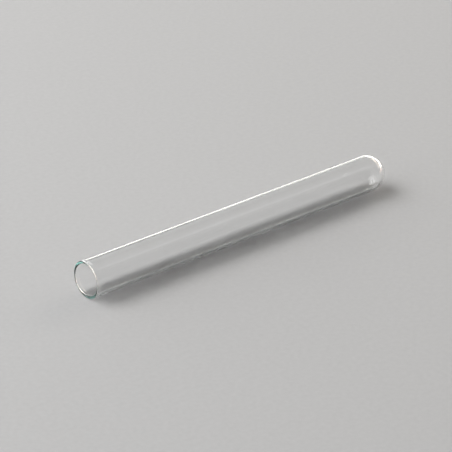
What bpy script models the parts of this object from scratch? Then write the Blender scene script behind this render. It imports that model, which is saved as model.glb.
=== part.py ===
"""A round-bottomed laboratory test tube, lying on its side with its mouth towards -X.

One piece of borosilicate tubing: drawn to a straight wall, closed in the flame to a
round bottom at one end, and fire-polished to a rounded lip at the other.
Units are metres and +Z is up. The origin is on the surface that the tube lies on,
under the middle of its length.
"""

import math

import bmesh
import bpy

# ---- Driving dimensions (metres) --------------------------------------------------

TUBE_LENGTH = 0.180         # lip to the tip of the round bottom, outside
OUTER_DIAMETER = 0.018      # of the drawn tubing
WALL = 0.0010               # of the drawn tubing
BOTTOM_THICKNESS = 0.0010   # at the tip, blown out even with the wall

LIP_OUTER_ROUND = 0.00060   # radius that the flame leaves on the lip's outer edge
LIP_INNER_ROUND = 0.00065   # radius on its inner edge
LIP_SWELL = 0.00040         # how far the melted lip stands into the bore
SWELL_LENGTH = 0.0020       # how far down the bore the swelling fades out

FACETS_ROUND = 24           # flats round the tube; a multiple of four puts one underneath
STEPS_IN_QUARTER = 12       # steps down each quarter curve of the round bottom
STEPS_IN_LIP = 4            # steps round each edge of the lip
STEPS_IN_SWELL = 6          # steps down the fading swelling

# ---- Sizes that follow from them ---------------------------------------------------

OUTER_RADIUS = OUTER_DIAMETER / 2
BORE_RADIUS = OUTER_RADIUS - WALL
THROAT_RADIUS = BORE_RADIUS - LIP_SWELL
BOTTOM_CENTRE = OUTER_RADIUS                    # height of the round bottom's centre
BOTTOM_DEPTH = BOTTOM_CENTRE - BOTTOM_THICKNESS  # of the hollow below that centre
HALF_FACET = math.pi / FACETS_ROUND


def quarter(centre_radius, centre_height, half_width, half_height, start, steps):
    """Points (radius, height) on a quarter ellipse, counter-clockwise from the angle start."""
    points = []
    for step in range(steps + 1):
        angle = start + math.pi / 2 * step / steps
        points.append((centre_radius + half_width * math.cos(angle),
                       centre_height + half_height * math.sin(angle)))
    return points


def fading_swell():
    """The throat's inner side: a smooth step from the bore in to the swollen lip."""
    lip_base = TUBE_LENGTH - LIP_INNER_ROUND
    points = []
    for step in range(STEPS_IN_SWELL):
        along = step / STEPS_IN_SWELL
        inward = LIP_SWELL * (1 - math.cos(math.pi * along)) / 2
        points.append((BORE_RADIUS - inward, lip_base - SWELL_LENGTH * (1 - along)))
    return points


def tube_profile():
    """The wall's outline, from the hollow's tip up the bore, over the lip and down outside.

    The tube stands upright here, with its closed tip at height 0.
    """
    hollow = quarter(0, BOTTOM_CENTRE, BORE_RADIUS, BOTTOM_DEPTH, -math.pi / 2, STEPS_IN_QUARTER)
    inner_edge = quarter(THROAT_RADIUS + LIP_INNER_ROUND, TUBE_LENGTH - LIP_INNER_ROUND,
                         LIP_INNER_ROUND, LIP_INNER_ROUND, math.pi / 2, STEPS_IN_LIP)
    outer_edge = quarter(OUTER_RADIUS - LIP_OUTER_ROUND, TUBE_LENGTH - LIP_OUTER_ROUND,
                         LIP_OUTER_ROUND, LIP_OUTER_ROUND, 0, STEPS_IN_LIP)
    bottom = quarter(0, BOTTOM_CENTRE, OUTER_RADIUS, BOTTOM_CENTRE, -math.pi / 2, STEPS_IN_QUARTER)
    return hollow + fading_swell() + inner_edge[::-1] + outer_edge[::-1] + bottom[::-1]


def turned(name, profile, collection):
    """A solid of revolution about local Z, from a profile with both ends on the axis.

    Each point is set half a facet round from +X and out along the facet, so that the
    flats, and not the corners, lie at the profile's radius.
    """
    outline = bmesh.new()
    verts = [outline.verts.new((radius, radius * math.tan(HALF_FACET), height))
             for radius, height in profile]
    for lower, upper in zip(verts, verts[1:]):
        outline.edges.new((lower, upper))
    mesh = bpy.data.meshes.new(name)
    outline.to_mesh(mesh)
    outline.free()

    solid = bpy.data.objects.new(name, mesh)
    collection.objects.link(solid)
    screw = solid.modifiers.new("turn", "SCREW")
    screw.axis = "Z"
    screw.steps = FACETS_ROUND
    screw.render_steps = FACETS_ROUND
    screw.use_merge_vertices = True
    screw.merge_threshold = WALL / 1000
    screw.use_smooth_shade = True
    return solid


def clear_glass():
    """Borosilicate glass: clear, with the faint green of its thick edges."""
    material = bpy.data.materials.new("clear_glass")
    material.use_nodes = True
    shader = material.node_tree.nodes["Principled BSDF"]
    shader.inputs["Base Color"].default_value = (0.90, 0.96, 0.94, 1.0)
    shader.inputs["Roughness"].default_value = 0.02
    shader.inputs["Metallic"].default_value = 0.0
    shader.inputs["IOR"].default_value = 1.474
    shader.inputs["Transmission Weight"].default_value = 1.0
    return material


# ---- The tube ------------------------------------------------------------------------

for old in list(bpy.data.objects):
    bpy.data.objects.remove(old, do_unlink=True)

parts = bpy.data.collections.new("test_tube")
bpy.context.scene.collection.children.link(parts)

glass_tube = turned("glass_tube", tube_profile(), parts)
glass_tube.data.materials.append(clear_glass())

# Laid on its side: the closed tip goes to +X, and the lowest flat to Z = 0.
glass_tube.rotation_euler = (0, -math.pi / 2, 0)
glass_tube.location = (TUBE_LENGTH / 2, 0, OUTER_RADIUS)
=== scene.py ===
"""A glass test tube lying on a pale bench: the looks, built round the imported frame."""

import math

import bmesh
import bpy
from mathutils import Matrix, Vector, noise


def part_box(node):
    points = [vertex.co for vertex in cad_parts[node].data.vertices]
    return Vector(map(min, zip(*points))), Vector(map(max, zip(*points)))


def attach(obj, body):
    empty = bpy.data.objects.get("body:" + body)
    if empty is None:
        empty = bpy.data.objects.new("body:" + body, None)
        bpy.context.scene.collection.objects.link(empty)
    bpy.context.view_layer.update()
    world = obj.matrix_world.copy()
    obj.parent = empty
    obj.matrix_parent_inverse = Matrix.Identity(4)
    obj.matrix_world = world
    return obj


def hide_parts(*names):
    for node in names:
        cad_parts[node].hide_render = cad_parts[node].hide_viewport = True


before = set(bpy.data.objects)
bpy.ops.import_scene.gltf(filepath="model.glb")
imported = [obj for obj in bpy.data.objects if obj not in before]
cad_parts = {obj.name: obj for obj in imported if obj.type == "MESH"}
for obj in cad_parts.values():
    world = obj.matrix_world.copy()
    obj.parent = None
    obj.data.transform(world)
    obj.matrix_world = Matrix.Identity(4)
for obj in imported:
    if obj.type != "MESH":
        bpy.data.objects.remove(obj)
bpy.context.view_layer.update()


# ---- The glass tube -----------------------------------------------------------------
# One piece of clear borosilicate tubing. The wall is drawn straight, one end is closed
# in the flame and blown to an even round bottom, and the other is melted to a rounded
# lip that swells a little into the bore and shows the glass's green. Sizes are in metres.

tube_low, tube_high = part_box("glass_tube")
mouth_x = tube_low.x
tip_x = tube_high.x
outer_radius = (tube_high.y - tube_low.y) / 2
axis_height = (tube_low.z + tube_high.z) / 2

wall = 0.001
bottom_thickness = 0.001
lip_outer_round = 0.0006
lip_inner_round = 0.00065
lip_swell = 0.0004
swell_length = 0.002

bore_radius = outer_radius - wall
bottom_x = tip_x - outer_radius
swell_x = mouth_x + lip_inner_round + swell_length

ridge_depth = 0.000006
fine_ridge_share = 0.35
broad_ridge = 0.0013
fine_ridge = 0.00044
ridge_length = 0.09
ridge_fade = 0.012

axis_tolerance = 0.000001
sides_round = 240
steps_in_bottom = 40
steps_in_lip = 10
steps_in_swell = 12
steps_in_wall = 60

glass_index = 1.474
green_depth = (0.0, 0.53, 0.45, 1)
green_density = 3.2

film_stretch = (0.4, 1, 1)
film_scale = 90
film_roughness = 0.012
film_grey = 0.992
hair_line_stretch = (0.02, 1, 1)
hair_line_scale = 1100
hair_line_depth = 0.0000006

cloud_detail = 3.0
cloud_low = 0.25
cloud_high = 0.75


def arc(centre_x, centre_radius, along, across, start, end, steps):
    """Points (x, radius) on an elliptical arc between two angles, in degrees."""
    points = []
    for step in range(steps + 1):
        angle = math.radians(start + (end - start) * step / steps)
        points.append((centre_x + along * math.cos(angle),
                       centre_radius + across * math.sin(angle)))
    return points


def straight(start_x, end_x, radius):
    """Points (x, radius) between two places on the wall, without the two ends."""
    return [(start_x + (end_x - start_x) * step / steps_in_wall, radius)
            for step in range(1, steps_in_wall)]


def fading_swell():
    """Points (x, radius) where the bore narrows smoothly towards the melted lip."""
    points = []
    for step in range(steps_in_swell):
        share = step / steps_in_swell
        inward = lip_swell * (1 - math.cos(math.pi * share)) / 2
        points.append((swell_x - swell_length * share, bore_radius - inward))
    return points


def tube_outline():
    """The wall's outline: from the hollow's tip, up the bore, over the lip, down outside.

    Each point is (x, radius, drawn), and drawn says how far the drawing's ridges show
    there: fully in the middle of the bore, and not at all where the flame has melted it.
    """
    hollow = arc(bottom_x, 0, outer_radius - bottom_thickness, bore_radius,
                 0, 90, steps_in_bottom)
    bore = straight(bottom_x, swell_x, bore_radius)
    inner_edge = arc(mouth_x + lip_inner_round, bore_radius - lip_swell + lip_inner_round,
                     lip_inner_round, lip_inner_round, 270, 180, steps_in_lip)
    outer_edge = arc(mouth_x + lip_outer_round, outer_radius - lip_outer_round,
                     lip_outer_round, lip_outer_round, 180, 90, steps_in_lip)
    outside = straight(mouth_x + lip_outer_round, bottom_x, outer_radius)
    bottom = arc(bottom_x, 0, outer_radius, outer_radius, 90, 0, steps_in_bottom)

    def melted(points):
        return [(x, radius, 0) for x, radius in points]

    drawn_bore = [(x, radius, min(1, (bottom_x - x) / ridge_fade, (x - swell_x) / ridge_fade))
                  for x, radius in bore]
    return (melted(hollow) + drawn_bore
            + melted(fading_swell() + inner_edge + outer_edge + outside + bottom))


def ridge_height(x, angle):
    """How far the bore stands in at a point: the long shallow ridges of the drawing."""
    around = Vector((math.cos(angle), math.sin(angle), 0)) * bore_radius
    along = Vector((0, 0, x / ridge_length))
    broad = noise.noise(around / broad_ridge + along)
    fine = noise.noise(around / fine_ridge + along)
    return ridge_depth * (broad + fine_ridge_share * fine)


def turned_tube(name):
    """The outline turned about the tube's axis into one closed skin of glass."""
    skin = bmesh.new()
    rings = []
    for x, radius, drawn in tube_outline():
        if radius < axis_tolerance:
            rings.append([skin.verts.new((x, 0, axis_height))])
            continue
        ring = []
        for side in range(sides_round):
            angle = math.tau * side / sides_round
            here = radius - drawn * ridge_height(x, angle)
            ring.append(skin.verts.new((x, here * math.cos(angle),
                                        axis_height + here * math.sin(angle))))
        rings.append(ring)
    for ring, following in zip(rings, rings[1:]):
        for side in range(sides_round):
            turn = (side + 1) % sides_round
            if len(ring) == 1:
                skin.faces.new((ring[0], following[turn], following[side]))
            elif len(following) == 1:
                skin.faces.new((ring[side], ring[turn], following[0]))
            else:
                skin.faces.new((ring[side], ring[turn], following[turn], following[side]))
    bmesh.ops.recalc_face_normals(skin, faces=skin.faces)
    for face in skin.faces:
        face.smooth = True
    mesh = bpy.data.meshes.new(name)
    skin.to_mesh(mesh)
    skin.free()
    made = bpy.data.objects.new(name, mesh)
    bpy.context.scene.collection.objects.link(made)
    return made


def faint_mottle():
    """A node group: soft clouds between two values, and the same between two colours."""
    group = bpy.data.node_groups.new("faint_mottle", "ShaderNodeTree")
    for label, kind in (("Vector", "NodeSocketVector"), ("Stretch", "NodeSocketVector"),
                        ("Scale", "NodeSocketFloat"), ("Low", "NodeSocketFloat"),
                        ("High", "NodeSocketFloat"), ("Low Colour", "NodeSocketColor"),
                        ("High Colour", "NodeSocketColor")):
        group.interface.new_socket(name=label, in_out="INPUT", socket_type=kind)
    group.interface.new_socket(name="Value", in_out="OUTPUT", socket_type="NodeSocketFloat")
    group.interface.new_socket(name="Colour", in_out="OUTPUT", socket_type="NodeSocketColor")
    nodes, links = group.nodes, group.links
    given = nodes.new("NodeGroupInput")
    stretched = nodes.new("ShaderNodeVectorMath")
    stretched.operation = "MULTIPLY"
    links.new(given.outputs["Vector"], stretched.inputs[0])
    links.new(given.outputs["Stretch"], stretched.inputs[1])
    clouds = nodes.new("ShaderNodeTexNoise")
    clouds.inputs["Detail"].default_value = cloud_detail
    links.new(stretched.outputs["Vector"], clouds.inputs["Vector"])
    links.new(given.outputs["Scale"], clouds.inputs["Scale"])
    spread = nodes.new("ShaderNodeMapRange")
    spread.inputs["From Min"].default_value = cloud_low
    spread.inputs["From Max"].default_value = cloud_high
    links.new(clouds.outputs["Fac"], spread.inputs["Value"])
    value = nodes.new("ShaderNodeMapRange")
    links.new(spread.outputs["Result"], value.inputs["Value"])
    links.new(given.outputs["Low"], value.inputs["To Min"])
    links.new(given.outputs["High"], value.inputs["To Max"])
    colour = nodes.new("ShaderNodeMix")
    colour.data_type = "RGBA"
    links.new(spread.outputs["Result"], colour.inputs["Factor"])
    links.new(given.outputs["Low Colour"], colour.inputs["A"])
    links.new(given.outputs["High Colour"], colour.inputs["B"])
    result = nodes.new("NodeGroupOutput")
    links.new(value.outputs["Result"], result.inputs["Value"])
    links.new(colour.outputs["Result"], result.inputs["Colour"])
    return group


mottle = faint_mottle()


def add_mottle(material, stretch, scale, low=0.0, high=1.0, dark=0.5, light=0.5):
    """Place the mottle in a material, in the piece's own coordinates. Its colours are greys."""
    nodes, links = material.node_tree.nodes, material.node_tree.links
    placed = nodes.new("ShaderNodeGroup")
    placed.node_tree = mottle
    links.new(nodes.new("ShaderNodeTexCoord").outputs["Object"], placed.inputs["Vector"])
    placed.inputs["Stretch"].default_value = stretch
    placed.inputs["Scale"].default_value = scale
    placed.inputs["Low"].default_value = low
    placed.inputs["High"].default_value = high
    placed.inputs["Low Colour"].default_value = (dark, dark, dark, 1)
    placed.inputs["High Colour"].default_value = (light, light, light, 1)
    return placed


def clear_glass():
    """Clear glass, green through its depth, with hair lines and the faintest of films."""
    material = bpy.data.materials.new("clear_glass")
    material.use_nodes = True
    nodes, links = material.node_tree.nodes, material.node_tree.links
    glass = nodes["Principled BSDF"]
    glass.inputs["IOR"].default_value = glass_index
    glass.inputs["Transmission Weight"].default_value = 1.0
    film = add_mottle(material, film_stretch, film_scale, high=film_roughness,
                      dark=film_grey, light=1.0)
    links.new(film.outputs["Colour"], glass.inputs["Base Color"])
    links.new(film.outputs["Value"], glass.inputs["Roughness"])
    hair_lines = add_mottle(material, hair_line_stretch, hair_line_scale)
    skin = nodes.new("ShaderNodeBump")
    skin.inputs["Distance"].default_value = hair_line_depth
    links.new(hair_lines.outputs["Value"], skin.inputs["Height"])
    links.new(skin.outputs["Normal"], glass.inputs["Normal"])
    green = nodes.new("ShaderNodeVolumeAbsorption")
    green.inputs["Color"].default_value = green_depth
    green.inputs["Density"].default_value = green_density
    links.new(green.outputs["Volume"], nodes["Material Output"].inputs["Volume"])
    return material


tube = turned_tube("drawn_glass_tube")
tube.data.materials.append(clear_glass())
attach(tube, "root")
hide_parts("glass_tube")


# ---- The bench ------------------------------------------------------------------------
# A wide sheet of matt, pale grey laminate that the tube lies on, with the fine soft
# pebble that such a sheet is pressed with. It lies a hair below the glass.

bench_half = 3.0
bench_drop = 0.00003
pebble_stretch = (1, 1, 1)
pebble_scale = 420
pebble_depth = 0.0001
laminate_smooth = 0.62
laminate_rough = 0.76
laminate_dark = 0.50
laminate_light = 0.54


def pale_laminate():
    """Matt grey laminate: its pebble, and a little mottling in its colour and its sheen."""
    material = bpy.data.materials.new("pale_laminate")
    material.use_nodes = True
    nodes, links = material.node_tree.nodes, material.node_tree.links
    finish = nodes["Principled BSDF"]
    grain = add_mottle(material, pebble_stretch, pebble_scale, low=laminate_smooth,
                       high=laminate_rough, dark=laminate_dark, light=laminate_light)
    links.new(grain.outputs["Colour"], finish.inputs["Base Color"])
    links.new(grain.outputs["Value"], finish.inputs["Roughness"])
    pebble = nodes.new("ShaderNodeBump")
    pebble.inputs["Distance"].default_value = pebble_depth
    links.new(grain.outputs["Value"], pebble.inputs["Height"])
    links.new(pebble.outputs["Normal"], finish.inputs["Normal"])
    return material


sheet = bmesh.new()
bmesh.ops.create_grid(sheet, x_segments=1, y_segments=1, size=bench_half)
bench_mesh = bpy.data.meshes.new("bench_top")
sheet.to_mesh(bench_mesh)
sheet.free()
bench_mesh.materials.append(pale_laminate())
bench = bpy.data.objects.new("bench_top", bench_mesh)
bench.location.z = tube_low.z - bench_drop
bpy.context.scene.collection.objects.link(bench)


# ---- The lamps --------------------------------------------------------------------------
# Soft boxes all round the bench, and a dim room. Each line gives a box's azimuth from +Y
# towards +X, its elevation, its span and rise as seen from the tube, all in degrees, and
# its level and colour.

lamp_distance = 2.2
white = (1.0, 1.0, 1.0)
cream = (1.0, 1.0, 0.93)
straw = (1.0, 0.92, 0.82)
warm = (1.0, 0.88, 0.77)
rose = (1.0, 0.74, 0.64)
room_grey = 0.06

soft_boxes = {
    "key_box": (340, 52, 30, 33, 4.4, white),
    "left_key_box": (279, 52, 34, 30, 2.6, white),
    "left_upper_box": (310.5, 49, 29, 22, 2.1, white),
    "left_middle_box": (302, 32, 88, 12, 2.1, white),
    "left_low_box": (306, 19, 90, 14, 1.5, white),
    "left_bench_box": (302, 6, 90, 11, 1.0, white),
    "back_box": (8, 16, 40, 30, 0.7, white),
    "back_lip_box": (20, 16, 14, 12, 1.3, white),
    "back_right_box": (44, 30, 26, 24, 0.38, white),
    "back_right_low_box": (43, 13, 14, 8, 0.45, cream),
    "over_box": (75, 60, 60, 38, 0.23, white),
    "shoulder_box": (121, 46, 18, 16, 0.26, white),
    "right_near_box": (72, 28, 20, 13, 3.6, warm),
    "right_box": (97, 28, 30, 13, 1.4, warm),
    "right_low_box": (97, 17, 30, 9, 2.4, warm),
    "rim_box_10": (10, 2.5, 30, 5, 1.4, white),
    "rim_box_33": (33, 2.5, 16, 5, 2.9, cream),
    "rim_box_51": (51, 4.0, 20, 8, 4.4, cream),
    "rim_box_67": (67, 2.5, 12, 5, 8.0, cream),
    "rim_box_84": (84, 3.0, 22, 6, 6.0, straw),
    "rim_box_110": (109.5, 2.5, 29, 5, 3.4, rose),
}

for name, (azimuth, elevation, span, rise, level, colour) in soft_boxes.items():
    turn, lift = math.radians(azimuth), math.radians(elevation)
    towards = Vector((math.sin(turn) * math.cos(lift), math.cos(turn) * math.cos(lift),
                      math.sin(lift)))
    lamp = bpy.data.lights.new(name, "AREA")
    lamp.shape = "RECTANGLE"
    lamp.size = 2 * lamp_distance * math.tan(math.radians(span) / 2)
    lamp.size_y = 2 * lamp_distance * math.tan(math.radians(rise) / 2)
    lamp.energy = level * math.pi * lamp.size * lamp.size_y
    lamp.color = colour
    soft_box = bpy.data.objects.new(name, lamp)
    soft_box.location = towards * lamp_distance
    soft_box.rotation_euler = towards.to_track_quat("Z", "Y").to_euler()
    bpy.context.scene.collection.objects.link(soft_box)

room = bpy.data.worlds.new("room")
room.use_nodes = True
walls = room.node_tree.nodes["Background"]
walls.inputs["Color"].default_value = (room_grey, room_grey, room_grey, 1)
bpy.context.scene.world = room


# ---- The camera ---------------------------------------------------------------------------
# It stands out beyond the mouth, towards -Y, and looks down at a slant along the tube.
# Light is followed through many bounces, because it runs on inside the thin wall.

view_from = (-0.77333, -0.89327, 0.59088)
view_azimuth = 40.6
view_elevation = 26.3
focal_length = 225.8
film_width = 36
nearest = 0.01
glass_bounces = 160

lens = bpy.data.cameras.new("camera")
lens.lens = focal_length
lens.sensor_width = film_width
lens.clip_start = nearest
camera = bpy.data.objects.new("camera", lens)
camera.location = view_from
camera.rotation_euler = (math.radians(90 - view_elevation), 0, math.radians(-view_azimuth))
bpy.context.scene.collection.objects.link(camera)
bpy.context.scene.camera = camera
bpy.context.scene.view_settings.view_transform = "Standard"
bpy.context.scene.cycles.max_bounces = glass_bounces
bpy.context.scene.cycles.glossy_bounces = glass_bounces
bpy.context.scene.cycles.transmission_bounces = glass_bounces
